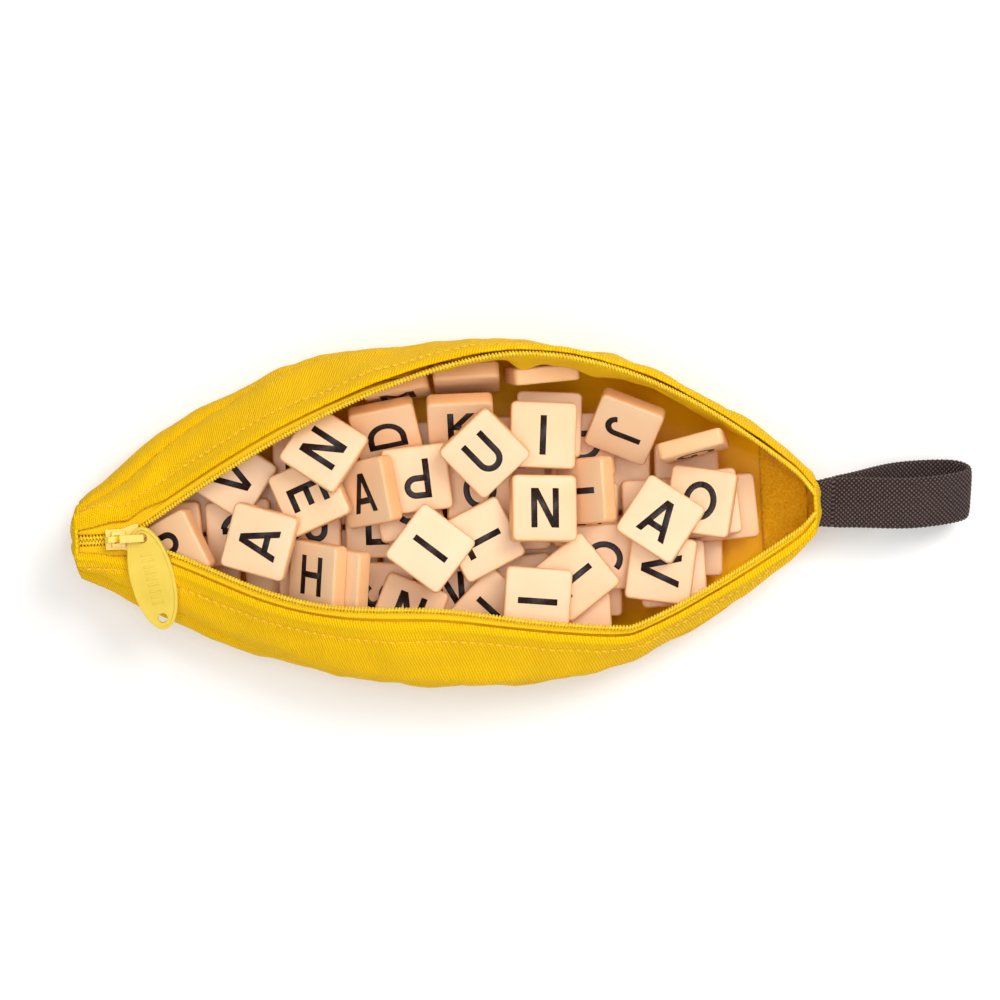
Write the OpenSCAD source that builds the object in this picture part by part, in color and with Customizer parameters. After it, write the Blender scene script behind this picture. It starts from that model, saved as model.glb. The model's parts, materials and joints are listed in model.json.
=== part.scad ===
// Zipped tile pouch in the shape of a banana, lying open on a table and full of word-game tiles.
// X runs from the nose, where the zip starts, to the stem, where the webbing loop is sewn on.
// +Y is the back wall, -Y the front wall, Z is up, and the origin is on the table under the middle.

/* [Pouch] */
// Length of the sewn body from nose to stem
pouch_len = 202; // [196:1:214]
// Width across the belly with the mouth open
pouch_w = 93; // [90:1:100]
// How far the belly lies towards the back
belly_shift = 1.5; // [0:0.25:3]
// Place along X where the belly is widest at the front
front_belly = 11; // [4:1:18]
// Width of the blunt nose and stem ends
end_w = 16; // [14:0.5:20]
// Height of the blunt ends
end_h = 20; // [18:0.5:23]
// Height of the belly seam above the table at the middle
belly_h = 19; // [16:0.5:22]
// Height of the back rim at its highest
back_rim_h = 47; // [44:0.5:54]
// Height of the front rim at its highest
front_rim_h = 40; // [38:0.5:46]
// Length of the keel that lies flat on the table
flat_len = 100; // [80:1:120]
// Width of the flat underside at the middle
flat_w = 60; // [50:1:68]
// Lift of the nose and the stem off the table
end_lift = 8; // [4:0.5:12]

/* [Mouth] */
// Where the two zip rows part, measured back from the nose
split_in = 14.5; // [13:0.5:16]
// How far the back rim stands from the zip line
back_reach = 43.8; // [36:0.2:44]
// How far the front rim stands from the zip line
front_reach = 31; // [26:0.5:33]
// How much further the front rim stands out towards the nose
front_swell = 5.6; // [0:0.2:6]
// How far each rim still stands out at the stem
stem_reach = 4; // [0:0.2:4.4]
// Place along X where the back rim is widest
back_peak = 20; // [8:1:30]
// Place along X where the front rim is widest
front_peak = 48; // [35:1:58]

/* [Cloth] */
// Thickness of the outer canvas
canvas_t = 1; // [0.8:0.1:1.2]
// Thickness of the lining
lining_t = 0.4; // [0.3:0.05:0.6]
// Thickness of the zip tape
tape_t = 0.6; // [0.5:0.05:0.8]
// Width of each zip tape
tape_w = 9; // [8:0.5:11]
// Width of tape left bare between the canvas and the zip row
tape_bare = 4; // [3.8:0.1:5]
// Length of the reinforcing patch inside the stem end
patch_len = 13; // [10:1:18]
// Thickness of the reinforcing patch
patch_t = 0.6; // [0.5:0.05:0.8]
// Bulge of the end panels
end_bulge = 2.6; // [1.5:0.1:4]

/* [Zip] */
// Half width of one zip row
row_r = 0.8; // [0.7:0.05:0.85]
// Distance from one rib of the zip row to the next
row_pitch = 2.4; // [2:0.1:3]
// Length of the slider
slider_len = 9; // [8.5:0.1:10]
// Width of the slider at its tail
slider_tail_w = 5.6; // [5.4:0.1:6]
// Width of the slider at its mouth
slider_mouth_w = 7.8; // [7.6:0.1:8]
// Thickness of the slider's plates
plate_t = 1; // [0.8:0.05:1.2]
// Radius of the bar on which the pull link swings
pivot_r = 0.55; // [0.45:0.05:0.6]
// Distance from the swing bar to the pin in the tag
link_len = 8.2; // [8.2:0.1:9]

/* [Pull tag] */
// Length of the oval tag
tag_len = 29; // [25:0.5:32]
// Width of the oval tag
tag_w = 12; // [10.5:0.5:13]
// Thickness of the oval tag at its rim
tag_t = 1.5; // [1.2:0.1:1.7]
// Width of the raised rim
tag_rim = 0.9; // [0.7:0.1:1.3]
// Radius of the holes at both ends of the tag
tag_hole_r = 1.3; // [1.1:0.05:1.4]
// Distance from the tag's end to the middle of a hole
tag_hole_in = 3.2; // [3:0.1:3.6]
// Direction the tag lies in, from above, against +X
tag_yaw = -80; // [-88:1:-72]
// Slope of the tag towards the front
tag_slope = 10; // [8:0.5:12]

/* [Webbing loop] */
// Length of the loop from the seam to its end
loop_len = 42; // [36:1:52]
// Width of the webbing
webbing_w = 14.5; // [12:0.5:16]
// Thickness of the webbing
webbing_t = 1.8; // [1.4:0.1:2.2]
// Widest opening between the two legs of the loop
loop_gap = 12; // [9.5:0.5:13]
// Droop of the loop towards the table
loop_droop = 14; // [12:0.5:16]
// Roll of the loop, with its back edge up
loop_roll = 20; // [15:1:25]

/* [Tiles] */
// Side of a tile
tile_side = 18; // [17:0.25:18.5]
// Thickness of a tile
tile_t = 4.6; // [4:0.1:4.8]
// Cut at the tile's corners, seen from above
tile_corner = 1.6; // [1:0.1:2.4]
// Bevel round the lettered face
tile_bevel = 0.9; // [0.5:0.1:1.3]
// Gap left between tiles that lie on or beside each other
tile_gap = 0.15; // [0.1:0.05:0.3]

/* [Hidden] */
half_len = pouch_len / 2;
split_x = split_in - half_len;
seat_gap = 0.05;
lining_d = canvas_t + seat_gap;
tape_d = lining_d + lining_t + seat_gap;
wall_t = tape_d + tape_t;
end_top = end_lift + end_h;

// Outline of the pouch: the belly seen from above, the keel, the belly seam and the two rims.
back_power = 2.35;
front_power = 2.15;
lean_power = 1.8;
round_run = 25;
rim_power = 1.3;
seam_share = 0.12;
row_clear = 0.22;
closed_y = 2 * row_r + row_clear / 2 + seat_gap;

function mix(a, b, share) = a + (b - a) * share;
function belly_y(x, side) =
    let (
        peak = side > 0 ? 0 : front_belly,
        away = x < peak ? (peak - x) / (peak + half_len) : (x - peak) / (half_len - peak)
    )
    mix(pouch_w / 2 + side * belly_shift, end_w / 2, pow(away, side > 0 ? back_power : front_power));
function floor_y(x, side) = flat_w / pouch_w * belly_y(x, side);
function past_flat(x) = max(0, abs(x) - flat_len / 2) / (half_len - flat_len / 2);
function keel_z(x) = end_lift * pow(past_flat(x), 2);
function belly_z(x) = keel_z(x) + mix(belly_h, end_h / 2, pow(x / half_len, 2));

// Each rim is an arch: 0 where the rows part, its reach at the peak and stem_reach at the stem.
swell_x = -40;
function arch(x, reach, peak, nose_power, stem_power) =
    x < peak
        ? reach * (1 - pow((peak - x) / (peak - split_x), nose_power))
        : reach - (reach - stem_reach) * pow((x - peak) / (half_len - peak), stem_power);
function swell(x) = front_swell * pow(cos(90 * min(1, abs(x - swell_x) / (swell_x - split_x))), 2);
function rim_y(x, side) =
    x <= split_x ? closed_y
    : closed_y + (side > 0 ? arch(x, back_reach, back_peak, 1.62, 1.9)
                           : arch(x, front_reach, front_peak, 1.4, 1.2) + swell(x));
function mouth_share(x) = max(0, (x - split_x) / (half_len - split_x));
function rim_z(x, side) =
    end_top + ((side > 0 ? back_rim_h : front_rim_h) - end_top)
        * pow(sin(180 * mouth_share(x)), rim_power);
function roundness(x) = x < split_x ? 1 : pow(max(0, 1 - (x - split_x) / round_run), 2);

// A point of the upper wall, from the belly at share 0 to the rim at share 1.
function wall_point(x, side, share) =
    let (a = belly_y(x, side), r = rim_y(x, side), b = belly_z(x), h = rim_z(x, side), w = roundness(x))
    [
        mix(a - (a - r) * pow(share, lean_power), r + (a - r) * cos(90 * share), w),
        mix(b + (h - b) * share, b + (h - b) * sin(90 * share), w)
    ];
function wall_len(x, side) = 1.1 * norm([belly_y(x, side) - rim_y(x, side), rim_z(x, side) - belly_z(x)]);
function share_below_rim(x, side, dist) = 1 - dist / wall_len(x, side);

// One half of the cross-section, from the keel to the rim. These indices are its named places.
KEEL = 0;
SEAM = 6;
TAPE_FOOT = 9;
CANVAS_TOP = 10;
RIM = 11;
function section(x, side) =
    let (
        k = keel_z(x), f = floor_y(x, side), a = belly_y(x, side), b = belly_z(x),
        foot = share_below_rim(x, side, tape_w), top = share_below_rim(x, side, tape_bare)
    )
    concat(
        [[0, k], [f, k]],
        [for (turn = [22.5:22.5:90]) [f + (a - f) * sin(turn), k + (b - k) * (1 - cos(turn))]],
        [for (share = [seam_share, mix(seam_share, foot, 1 / 3), mix(seam_share, foot, 2 / 3), foot, top, 1])
            wall_point(x, side, share)]
    );
function heading(line, j) =
    let (step = line[min(j + 1, len(line) - 1)] - line[max(j - 1, 0)]) step / norm(step);
function inset(line, depth) =
    [for (j = [0:len(line) - 1]) let (t = heading(line, j)) line[j] + depth * [-t[1], t[0]]];

// Stations along X: a few over the closed nose, then closer together towards the stem.
nose_steps = 3;
mouth_steps = 24;
stations = concat(
    [for (i = [0:nose_steps - 1]) mix(-half_len, split_x, i / nose_steps)],
    [for (i = [0:mouth_steps]) mix(split_x, half_len, (1 - cos(180 * i / mouth_steps)) / 2)]
);

// Faces of a closed sheet whose outer and inner grids both have n by m points.
function sheet_faces(n, m) =
    let (in = n * m)
    concat(
        [for (i = [0:n - 2], j = [0:m - 2]) let (a = i * m + j, b = a + m) each [
            [a, b, b + 1], [a, b + 1, a + 1], [in + a, in + b + 1, in + b], [in + a, in + a + 1, in + b + 1]]],
        [for (i = [0:n - 2]) let (a = i * m, b = a + m, c = a + m - 1, d = c + m) each [
            [a, in + b, b], [a, in + a, in + b], [c, d, in + d], [c, in + d, in + c]]],
        [for (j = [0:m - 2]) let (a = j, c = (n - 1) * m + j) each [
            [a, a + 1, in + a + 1], [a, in + a + 1, in + a], [c, in + c + 1, c + 1], [c, in + c, in + c + 1]]]
    );

// A curved sheet of cloth on one side of the pouch, between two places of the section and two depths.
module cloth(side, from, to, depth, thick, along = stations) {
    layers = [for (d = [depth, depth + thick], x = along) inset(section(x, side), d)];
    points = [for (i = [0:len(layers) - 1], j = [from:to])
        [along[i % len(along)], layers[i][j][0], layers[i][j][1]]];
    mirror([0, side > 0 ? 0 : 1, 0])
        polyhedron(points, sheet_faces(len(along), to - from + 1));
}

module lower_panel(side) color("gold") cloth(side, KEEL, SEAM, 0, canvas_t);
module upper_panel(side) color("gold") cloth(side, SEAM, CANVAS_TOP, 0, canvas_t);
module lining() color("orange") for (side = [-1, 1]) cloth(side, KEEL, CANVAS_TOP, lining_d, lining_t);
module zip_tape(side) color("yellow") cloth(side, TAPE_FOOT, RIM, tape_d, tape_t);

// The patch lines the stem end, inside the lining and below the zip tape.
patch_steps = 5;
patch_gap = 0.1;
module stem_patch() {
    along = [for (i = [0:patch_steps]) mix(half_len - patch_len, half_len, i / patch_steps)];
    color("goldenrod")
        for (side = [-1, 1]) cloth(side, KEEL, TAPE_FOOT - 1, tape_d + patch_gap, patch_t, along);
}

// A blunt end, closed by an oval panel that bulges out.
bulge_rings = 3;
bulge_turn = 70;
module end_panel(end) {
    x = end * half_len;
    back = section(x, 1);
    front = section(x, -1);
    outline = concat(back, [for (j = [RIM:-1:1]) [-front[j][0], front[j][1]]]);
    count = len(outline);
    middle = [0, keel_z(x) + end_h / 2];
    ends = [for (turn = [0, bulge_turn]) [x + end * end_bulge * sin(turn), middle[0], middle[1]]];
    points = [for (ring = [0:bulge_rings], p = outline)
        let (turn = bulge_turn * ring / bulge_rings, q = middle + (p - middle) * cos(turn))
        [x + end * end_bulge * sin(turn), q[0], q[1]]];
    sides = [for (ring = [0:bulge_rings - 1], i = [0:count - 1])
        let (a = ring * count + i, b = ring * count + (i + 1) % count) each [
            [a, a + count, b + count], [a, b + count, b]]];
    last = bulge_rings * count;
    caps = [for (i = [0:count - 1]) let (j = (i + 1) % count) each [
        [i, j, last + count], [last + j, last + i, last + count + 1]]];
    faces = concat(sides, caps);
    color("goldenrod")
        polyhedron(concat(points, ends), end > 0 ? faces : [for (f = faces) [for (i = [len(f) - 1:-1:0]) f[i]]]);
}

// The zip row is a ribbed bead on the free edge of its tape.
function row_middle(x, side) =
    let (line = inset(section(x, side), tape_d + tape_t / 2), t = heading(section(x, side), RIM))
    line[RIM] + (row_r + row_clear) * t;
module zip_row(side, from, to, start = 0) {
    count = floor((to - from) / row_pitch * 2);
    rings = [for (i = [0:count]) let (x = mix(from, to, i / count), c = row_middle(x, side),
            t = heading(section(x, side), RIM), r = row_r * ((i + start) % 2 == 0 ? 0.7 : 1))
        [for (turn = [45:90:315]) let (p = c + r * sqrt(2) * (cos(turn) * t + sin(turn) * [-t[1], t[0]]))
            [x, p[0], p[1]]]];
    sides = [for (i = [0:count - 1], j = [0:3]) let (a = 4 * i + j, b = 4 * i + (j + 1) % 4) each [
        [a, a + 4, b + 4], [a, b + 4, b]]];
    color("khaki")
        mirror([0, side > 0 ? 0 : 1, 0])
            polyhedron([for (ring = rings) each ring],
                concat(sides, [[0, 1, 2, 3]], [[for (j = [3:-1:0]) 4 * count + j]]));
}
row_stop = 2.2;
module open_row(side) zip_row(side, slider_mid + slider_len / 2 + row_clear, half_len - row_stop);
module closed_rows() {
    zip_row(1, -half_len, split_x);
    zip_row(-1, -half_len, split_x, 1);
}

// Slider: two plates on a post, with a crown that holds the pull link.
chain_z = end_top - tape_d - tape_t / 2;
slider_mid = split_x - 1.5;
channel_h = 2 * row_r + 0.9;
slider_h = channel_h + 2 * plate_t;
slot_h = tape_t + 0.9;
flange_t = 0.6;
post_len = 1.8;
post_w = 1.2;
crown_len = 4;
crown_w = 1.6;
crown_rise = 2.4;
crown_t = 0.9;
slider_top = chain_z + slider_h / 2;
pivot_x = slider_mid - 2.4;
pivot_z = slider_top + pivot_r + 0.2;

module slider_plan(trim) {
    tail = slider_tail_w / 2 - trim;
    wide = slider_mouth_w / 2 - trim;
    half = slider_len / 2;
    polygon([
        [-half, -tail], [0, -tail], [half - 1.2, -wide], [half, -wide],
        [half, wide], [half - 1.2, wide], [0, tail], [-half, tail]
    ]);
}
module crown() {
    translate([pivot_x, crown_w / 2, slider_top])
        rotate([90, 0, 0])
            linear_extrude(crown_w)
                polygon([
                    [-crown_len / 2, -0.2], [-crown_len / 2, crown_rise - 1], [-crown_len / 2 + 1, crown_rise],
                    [crown_len / 2 - 1, crown_rise], [crown_len / 2, crown_rise - 1], [crown_len / 2, -0.2],
                    [crown_len / 2 - crown_t, -0.2], [crown_len / 2 - crown_t, crown_rise - crown_t],
                    [-crown_len / 2 + crown_t, crown_rise - crown_t], [-crown_len / 2 + crown_t, -0.2]
                ]);
}
module slider_body() {
    color("khaki") {
        translate([slider_mid, 0, chain_z])
            difference() {
                translate([0, 0, -slider_h / 2]) linear_extrude(slider_h) slider_plan(0);
                translate([0, 0, -channel_h / 2])
                    linear_extrude(channel_h) scale([1.2, 1]) slider_plan(flange_t);
                translate([-slider_len, -slider_mouth_w, -slot_h / 2 - 0.1])
                    cube([2 * slider_len, 2 * slider_mouth_w, slot_h]);
            }
        translate([slider_mid + slider_len / 2 - post_len, 0, chain_z - slider_h / 2 + 0.2])
            linear_extrude(slider_h - 0.4) polygon([[0, 0], [post_len, -post_w / 2], [post_len, post_w / 2]]);
        crown();
    }
}

// Pull link: a swing bar under the crown, two arms, and a loop round the edge of the tag.
link_w = 2;
arm_in = crown_w / 2 + 0.3;
arm_w = 1;
arm_t = 0.95;
loop_room = 2.6;
loop_back = crown_len / 2 + 1.4;
pin_r = 0.6;
bar_t = 0.9;
link_under = slider_top + 0.2;
tag_mid_z = link_under + bar_t + loop_room / 2;
eye_x = pivot_x + link_len;

module pull_link() {
    color("khaki") {
        translate([pivot_x, arm_in + arm_w, pivot_z])
            rotate([90, 0, 0]) cylinder(r = pivot_r, h = 2 * (arm_in + arm_w), $fn = 32);
        for (side = [-1, 1])
            translate([pivot_x, side * (arm_in + arm_w / 2) - arm_w / 2, pivot_z - arm_t / 2])
                cube([loop_back, arm_w, arm_t]);
        translate([pivot_x + loop_back - 1, -arm_in - arm_w, pivot_z - arm_t / 2])
            cube([1, 2 * (arm_in + arm_w), arm_t]);
        translate([pivot_x + loop_back - 1, -link_w / 2, link_under])
            cube([1, link_w, 2 * bar_t + loop_room]);
        for (z = [0, bar_t + loop_room])
            translate([pivot_x + loop_back - 0.5, -link_w / 2, link_under + z])
                cube([link_len - loop_back + 0.5 + pin_r, link_w, bar_t]);
        translate([eye_x, 0, link_under + 0.1])
            cylinder(r = pin_r, h = 2 * bar_t + loop_room - 0.2, $fn = 32);
    }
}

// Oval tag with a raised rim, a hole at each end and a row of plain grip ribs.
rib_count = 9;
rib_pitch = 1.7;
rim_step = 0.25;
module tag_outline(trim) {
    steps = 48;
    polygon([for (i = [0:steps - 1]) let (turn = 360 * i / steps)
        [(tag_len / 2 - trim) * cos(turn), (tag_w / 2 - trim) * sin(turn)]]);
}
module pull_tag() {
    color("khaki")
        translate([eye_x, 0, tag_mid_z])
            rotate([tag_slope, 0, 0])
                rotate([0, 0, tag_yaw])
                    translate([tag_len / 2 - tag_hole_in, 0, -tag_t / 2]) {
                        difference() {
                            linear_extrude(tag_t) tag_outline(0);
                            translate([0, 0, tag_t - rim_step])
                                linear_extrude(tag_t) tag_outline(tag_rim);
                            for (end = [-1, 1])
                                translate([end * (tag_len / 2 - tag_hole_in), 0, -tag_t])
                                    cylinder(r = tag_hole_r, h = 3 * tag_t, $fn = 48);
                        }
                        for (i = [0:rib_count - 1])
                            translate([(i - (rib_count - 1) / 2) * rib_pitch - 0.3, -1.6, tag_t - rim_step - 0.1])
                                cube([0.6, 3.2, rim_step + 0.1]);
                    }
}

// Webbing loop: a teardrop band, rolled and drooping from the stem.
loop_root_r = webbing_t;
loop_x = half_len + end_bulge + loop_root_r + 0.3;
loop_z = end_lift + end_h / 2;
drop_power = 1.2;
drop_swell = 0.738;
drop_steps = 60;
function drop_line(turn) =
    let (swing = (loop_gap + webbing_t) / 2 / drop_swell)
    [(loop_len - webbing_t / 2) / 2 * (1 - cos(turn)), swing * sin(turn) * pow(sin(turn / 2), drop_power)];
function drop_edge(turn, offset) =
    let (step = drop_line(turn + 1) - drop_line(turn - 1), t = step / norm(step))
    drop_line(turn) + offset * [t[1], -t[0]];
module drop_outline(offset, from) {
    turns = [for (i = [0:drop_steps]) mix(from, 360 - from, i / drop_steps)];
    polygon([for (turn = turns) drop_edge(turn, offset)]);
}
module strap_loop() {
    color([0.2, 0.13, 0.1])
        translate([loop_x, 0, loop_z])
            rotate([loop_roll, 0, 0])
                rotate([90, loop_droop, 0])
                    linear_extrude(webbing_w, center = true)
                        difference() {
                            union() {
                                drop_outline(-webbing_t / 2, 14);
                                circle(r = loop_root_r, $fn = 36);
                            }
                            drop_outline(webbing_t / 2, 50);
                        }
}

// Tiles. Level layers fill the bottom of the pouch, and the loose tiles lie on top of them.
lower_layers = 2;
all_layers = 3;
layer_pitch = tile_t + tile_gap;
pack_pitch = tile_side + 1.2;
pack_yaw = 3;
pack_z = wall_t + tile_gap;
pack_top = pack_z + all_layers * layer_pitch;

function outer_y(x, side, z) =
    let (k = keel_z(x), b = belly_z(x), h = rim_z(x, side), a = belly_y(x, side), f = floor_y(x, side))
    z < b
        ? f + (a - f) * sqrt(max(0, 1 - pow(1 - max(0, z - k) / (b - k), 2)))
        : a - (a - rim_y(x, side)) * pow(min(1, (z - b) / (h - b)), lean_power);
function inner_y(x, z) =
    min([for (side = [-1, 1], rise = [-wall_t, wall_t + tile_t]) outer_y(x, side, z + rise)]) - wall_t;

// Places in one level layer: a grid, shifted from layer to layer, as far as it fits between the walls.
function layer_places(layer) =
    let (
        z = pack_z + layer * layer_pitch, shift = (layer % 2) / 2,
        reach = tile_side * (cos(pack_yaw) + sin(pack_yaw)) / 2,
        columns = ceil(half_len / pack_pitch), rows = ceil(pouch_w / 2 / pack_pitch)
    )
    [for (i = [-columns:columns], j = [-rows:rows])
        let (x = (i + shift) * pack_pitch, y = (j + shift) * pack_pitch, far = abs(x) + reach)
        if (far < half_len - wall_t && keel_z(far) + wall_t < z && abs(y) + reach < inner_y(far, z))
            [x, y, z + tile_t / 2, pack_yaw * sin(97 * i + 61 * j + 40 * layer)]];

module beveled(turn) {
    reach = tile_side / 2;
    high = tile_t / 2;
    rotate([90, 0, turn])
        linear_extrude(tile_side, center = true)
            polygon([
                [-reach, tile_bevel - high], [tile_bevel - reach, -high], [reach - tile_bevel, -high],
                [reach, tile_bevel - high], [reach, high - tile_bevel], [reach - tile_bevel, high],
                [tile_bevel - reach, high], [-reach, high - tile_bevel]
            ]);
}
module tile() {
    reach = tile_side / 2;
    flat = reach - tile_corner;
    color([0.96, 0.8, 0.62])
        intersection() {
            linear_extrude(tile_t, center = true)
                polygon([
                    [-reach, -flat], [-flat, -reach], [flat, -reach], [reach, -flat],
                    [reach, flat], [flat, reach], [-flat, reach], [-reach, flat]
                ]);
            beveled(0);
            beveled(90);
        }
}
module packed_tiles(from, to) {
    for (layer = [from:to - 1], place = layer_places(layer))
        translate([place[0], place[1], place[2]]) rotate(place[3]) tile();
}

// Loose tiles, lowest first: place along and across a pouch of the drawn length and width, turn of the
// letter as seen from above, tilt, and the direction in which the lettered face leans.
drawn = [202, 93];
loose_tiles = [
    [7.5, 39, 0, 79, -90], [-11.6, 37.15, 8, 84, -84], [27.8, 39.2, 102, 84, 92],
    [5.2, 27, -1, 44, -90], [-15.2, 25.6, 99, 38, -84], [50, 23.6, -114, 38, -114],
    [68.2, 17.2, -69, 84, -79], [-29.6, -14.5, -9, 42, 180], [-35.8, -12.6, -9, 42, 180],
    [-57.9, 15.4, 54, 3, -60], [-74.8, -3.8, 24, 22, 197], [-10.4, 5, 8, 3, 90], [9.5, 8.5, -3, 2, 0],
    [29.3, 25.3, -5, 2, 90], [71.5, 1.4, 4, 5, 180], [42.3, -11.8, -90, 3, 0],
    [61.4, -17.4, 0, 4, 150], [34.8, -30.15, 0, 4, 100], [-12, -24.5, -24, 5, 90],
    [11.5, -25, -45, 6, 200], [69.5, 2, -12, 14, 150], [38.6, 6.6, 91, 48, 180],
    [-7.4, 12.2, 184, 2, -90], [-20.4, 9.3, 8, 44, 188], [-36.6, 9.3, -69, 10, 180],
    [9.4, -5.2, 115, 4, 0], [34.3, -16.8, 126, 3, 150], [57.8, -15.8, -100, 6, 160],
    [27.4, 22.3, -5, 2, 0], [26.4, 2.4, -3, 14, 20], [23.5, -22.5, 83, 3, 0],
    [-50.6, -2.6, 72, 8, 200], [-31.8, 21.5, 54, 6, 110], [-4.6, -6.8, 50, 3, 0],
    [11.4, 18.3, 41, 10, -90], [58, -2.2, -36, 8, 145]
];

function turn_z(v, angle) = [v[0] * cos(angle) - v[1] * sin(angle), v[0] * sin(angle) + v[1] * cos(angle), v[2]];
function turn_y(v, angle) = [v[0] * cos(angle) + v[2] * sin(angle), v[1], v[2] * cos(angle) - v[0] * sin(angle)];
function place_of(t) = [t[0] * pouch_len / drawn[0], t[1] * pouch_w / drawn[1]];
function axes_of(t) =
    [for (v = [[1, 0, 0], [0, 1, 0], [0, 0, 1]]) turn_z(turn_y(turn_z(v, t[2] - t[4]), t[3]), t[4])];
function reach_of(axes, way) =
    tile_side / 2 * (abs(axes[0] * way) + abs(axes[1] * way)) + tile_t / 2 * abs(axes[2] * way);

// How far above another tile a tile stops that is lowered onto it, or a negative height if it misses.
far_below = -1000;
function stop_height(axes, other, off) =
    let (
        ways = concat(axes, other, [for (u = axes, v = other) cross(u, v)]),
        spans = [for (w = ways) if (norm(w) > 0.001)
            let (way = w[2] < 0 ? -w : w, reach = reach_of(axes, way) + reach_of(other, way),
                side = way[0] * off[0] + way[1] * off[1])
            way[2] > 0.000001 ? [(-reach - side) / way[2], (reach - side) / way[2]]
            : abs(side) < reach ? [far_below, -far_below] : [0, far_below]],
        low = max([for (s = spans) s[0]]), high = min([for (s = spans) s[1]])
    )
    low < high ? high : far_below;

// Heights of the loose tiles, each lowered onto those before it.
all_axes = [for (t = loose_tiles) axes_of(t)];
function lowered(heights = []) =
    let (n = len(heights))
    n == len(loose_tiles) ? heights
    : let (
        rest = pack_top + reach_of(all_axes[n], [0, 0, 1]),
        stops = [for (k = [0:1:n - 1])
            let (off = place_of(loose_tiles[n]) - place_of(loose_tiles[k]))
            norm(off) < tile_side * sqrt(2) + tile_t
                ? heights[k] + stop_height(all_axes[n], all_axes[k], off) + tile_gap : far_below]
    )
    lowered(concat(heights, [max(concat([rest], stops))]));

module loose_tile(n) {
    t = loose_tiles[n];
    place = place_of(t);
    translate([place[0], place[1], lowered()[n]])
        rotate([0, 0, t[4]]) rotate([0, t[3], 0]) rotate([0, 0, t[2] - t[4]]) tile();
}
function tile_name(n) = str("letter_tile_", n < 9 ? "0" : "", n + 1);

lower_panel(1);  // lower_back_panel
lower_panel(-1);  // lower_front_panel
upper_panel(1);  // upper_back_panel
upper_panel(-1);  // upper_front_panel
end_panel(-1);  // nose_end_panel
end_panel(1);  // stem_end_panel
lining();
stem_patch();
zip_tape(1);  // zip_tape_back
zip_tape(-1);  // zip_tape_front
open_row(1);  // zip_row_back
open_row(-1);  // zip_row_front
closed_rows();  // zip_rows_closed
slider_body();
pull_link();
pull_tag();
strap_loop();
packed_tiles(0, lower_layers);  // packed_tiles_lower
packed_tiles(lower_layers, all_layers);  // packed_tiles_upper
for (n = [0:len(loose_tiles) - 1])
    loose_tile(n);
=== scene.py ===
"""A banana-shaped zip pouch of yellow canvas, open and full of letter tiles, seen from above."""
import json
import math
import random

import bmesh
import bpy
import numpy as np
from mathutils import Matrix, Vector, noise

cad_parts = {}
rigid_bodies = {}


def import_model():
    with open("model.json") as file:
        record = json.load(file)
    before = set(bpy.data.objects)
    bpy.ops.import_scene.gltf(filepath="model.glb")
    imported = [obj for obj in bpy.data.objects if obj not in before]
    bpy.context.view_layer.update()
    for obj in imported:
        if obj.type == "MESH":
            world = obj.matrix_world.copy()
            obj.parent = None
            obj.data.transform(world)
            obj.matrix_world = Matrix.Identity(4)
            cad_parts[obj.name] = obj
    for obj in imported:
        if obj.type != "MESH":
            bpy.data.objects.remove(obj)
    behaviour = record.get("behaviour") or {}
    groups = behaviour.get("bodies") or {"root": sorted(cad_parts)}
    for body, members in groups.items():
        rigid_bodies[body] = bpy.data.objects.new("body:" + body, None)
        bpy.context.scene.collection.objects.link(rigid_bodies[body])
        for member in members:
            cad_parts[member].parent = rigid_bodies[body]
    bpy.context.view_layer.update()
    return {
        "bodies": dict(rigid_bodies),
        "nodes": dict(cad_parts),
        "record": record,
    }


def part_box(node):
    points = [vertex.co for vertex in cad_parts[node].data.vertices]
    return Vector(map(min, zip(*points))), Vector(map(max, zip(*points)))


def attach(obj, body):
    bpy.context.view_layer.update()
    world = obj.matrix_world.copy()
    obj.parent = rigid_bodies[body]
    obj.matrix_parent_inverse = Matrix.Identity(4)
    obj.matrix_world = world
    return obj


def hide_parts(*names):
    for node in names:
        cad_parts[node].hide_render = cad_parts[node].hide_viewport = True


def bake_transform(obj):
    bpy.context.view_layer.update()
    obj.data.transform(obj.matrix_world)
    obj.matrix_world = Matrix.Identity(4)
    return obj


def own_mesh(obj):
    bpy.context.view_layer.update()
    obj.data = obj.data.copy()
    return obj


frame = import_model()
MM = 0.001


def new_object(name, data):
    obj = bpy.data.objects.new(name, data)
    bpy.context.scene.collection.objects.link(obj)
    return obj


# Camera, straight above and turned a little about the vertical
TURN = math.radians(2.96)
camera = new_object("camera", bpy.data.cameras.new("camera"))
bpy.context.scene.camera = camera
camera.data.sensor_width = 36
camera.data.lens = 88.7
camera.location = (14.9 * MM, 5.3 * MM, 697 * MM)
camera.rotation_euler = (0, 0, -TURN)

# Shape of the pouch, in millimetres. Tables with keys 1 and -1 are for the back and the front.
HALF_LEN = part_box("lower_back_panel")[1].x / MM
BELLY = {1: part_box("lower_back_panel")[1].y / MM, -1: -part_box("lower_front_panel")[0].y / MM}
BELLY_PEAK = {1: 0.0, -1: 11.0}
BELLY_POWER = {1: 2.35, -1: 2.15}
END_Y = 8.0
FLOOR_SHARE = 0.645
FLAT_HALF = 50.0
KEEL_RISE = 8.0
BELLY_HIGH, BELLY_LOW = 19.0, 10.0
WALL_POWER = 1.8
ROUND_RUN = 25.0
END_TOP = 28.0
END_MIDDLE = 18.0

# Rims: the place, the two powers and the reach of each arch, and the height at its middle
RIM_ARCH = {1: (20.0, 1.62, 1.9, 43.8), -1: (48.0, 1.4, 1.2, 31.0)}
RIM_TOP = {1: 47.0, -1: 40.0}
SWELL, SWELL_X = 5.6, -40
CORNER_RUN = 6
STEM_REACH = 4.0

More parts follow.
